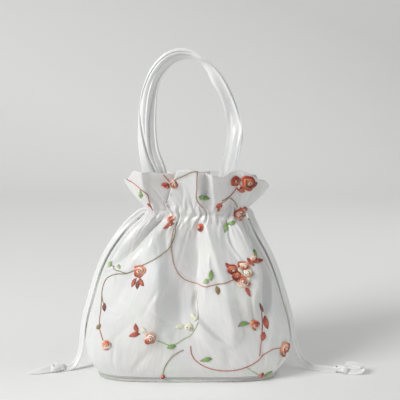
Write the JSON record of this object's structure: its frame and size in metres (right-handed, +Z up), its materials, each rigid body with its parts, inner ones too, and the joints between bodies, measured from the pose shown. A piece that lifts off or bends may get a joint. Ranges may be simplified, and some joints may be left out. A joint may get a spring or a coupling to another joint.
{
  "type": "drawstring bucket bag",
  "caption": "Soft drawstring bucket bag of embroidered satin with a flat base, a gathered and frilled neck, knotted ribbon drawstrings and a loop handle, for carrying small things.",
  "frame": {"origin": "on the floor, under the middle of the base", "axes": "+X to the bag's right as seen from the front, -Y to the front, +Z up"},
  "size_m": [0.3382, 0.1018, 0.3276],
  "materials": {
    "overlay": "satin",
    "lining": "satin",
    "welt": "satin",
    "strap": "satin",
    "ribbon": "satin",
    "embroidery": "satin"
  },
  "bodies": {
    "root": {"front_panel": "overlay", "front_frill": "overlay", "back_panel": "overlay", "back_frill": "overlay", "base_panel": "lining", "base_piping": "welt", "side_piping_left": "welt", "side_piping_right": "welt", "casing_band": "lining", "casing_cord": "ribbon", "drawstring_left": "ribbon", "drawstring_right": "ribbon", "knot_left": "ribbon", "knot_right": "ribbon", "handle": "strap"}
  },
  "joints": []
}
